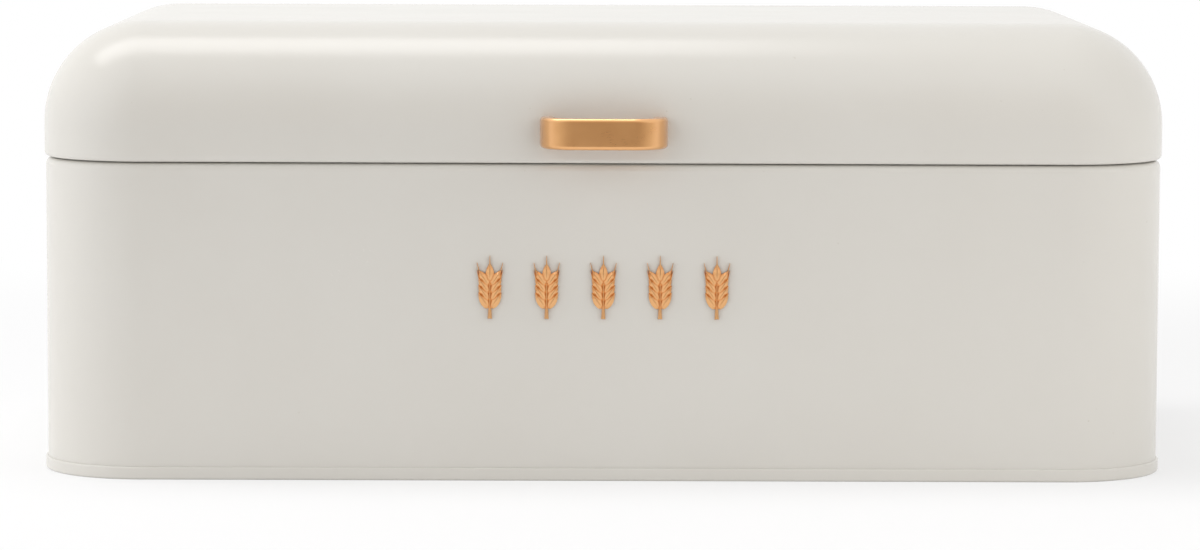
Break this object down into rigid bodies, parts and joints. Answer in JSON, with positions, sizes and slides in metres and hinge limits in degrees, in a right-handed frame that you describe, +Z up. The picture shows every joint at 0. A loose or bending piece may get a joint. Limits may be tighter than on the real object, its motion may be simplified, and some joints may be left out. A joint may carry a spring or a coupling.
{
  "type": "bread box",
  "caption": "Long bread box in painted sheet steel with rounded corners, a domed lid hinged at the back, a copper-finished loop handle and copper-finished wheat ears on the front.",
  "frame": {"origin": "middle of the tub's footprint, on the surface that the box stands on", "axes": "+X along the length, to the right as seen from the front; -Y is the front, where the handle is; +Z is up"},
  "size_m": [0.4218, 0.2536, 0.169],
  "materials": {
    "cream_coat": "satin powder coat, warm cream white",
    "copper_finish": "satin rose-copper plating",
    "hinge_steel": "zinc-plated steel",
    "rivet_aluminium": "plain",
    "screw_steel": "zinc-plated steel"
  },
  "bodies": {
    "body": {"body_shell": "cream_coat", "base_panel": "cream_coat", "hinge_left_body_leaf": "hinge_steel", "hinge_left_pin": "hinge_steel", "hinge_left_body_rivets": "rivet_aluminium", "hinge_right_body_leaf": "hinge_steel", "hinge_right_pin": "hinge_steel", "hinge_right_body_rivets": "rivet_aluminium", "front_motif_1": "copper_finish", "front_motif_2": "copper_finish", "front_motif_3": "copper_finish", "front_motif_4": "copper_finish", "front_motif_5": "copper_finish", "motif_push_nuts": "screw_steel"},
    "lid": {"lid_shell": "cream_coat", "hinge_left_lid_leaf": "hinge_steel", "hinge_left_lid_rivets": "rivet_aluminium", "hinge_right_lid_leaf": "hinge_steel", "hinge_right_lid_rivets": "rivet_aluminium", "handle": "copper_finish", "handle_screws": "screw_steel", "handle_washers": "screw_steel"}
  },
  "joints": [
    {"name": "lid_hinge", "type": "hinge", "parent": "body", "child": "lid", "pos_m": [0, 0.1176, 0.118], "axis": [-1, 0, 0], "range_deg": [0, 100]}
  ]
}
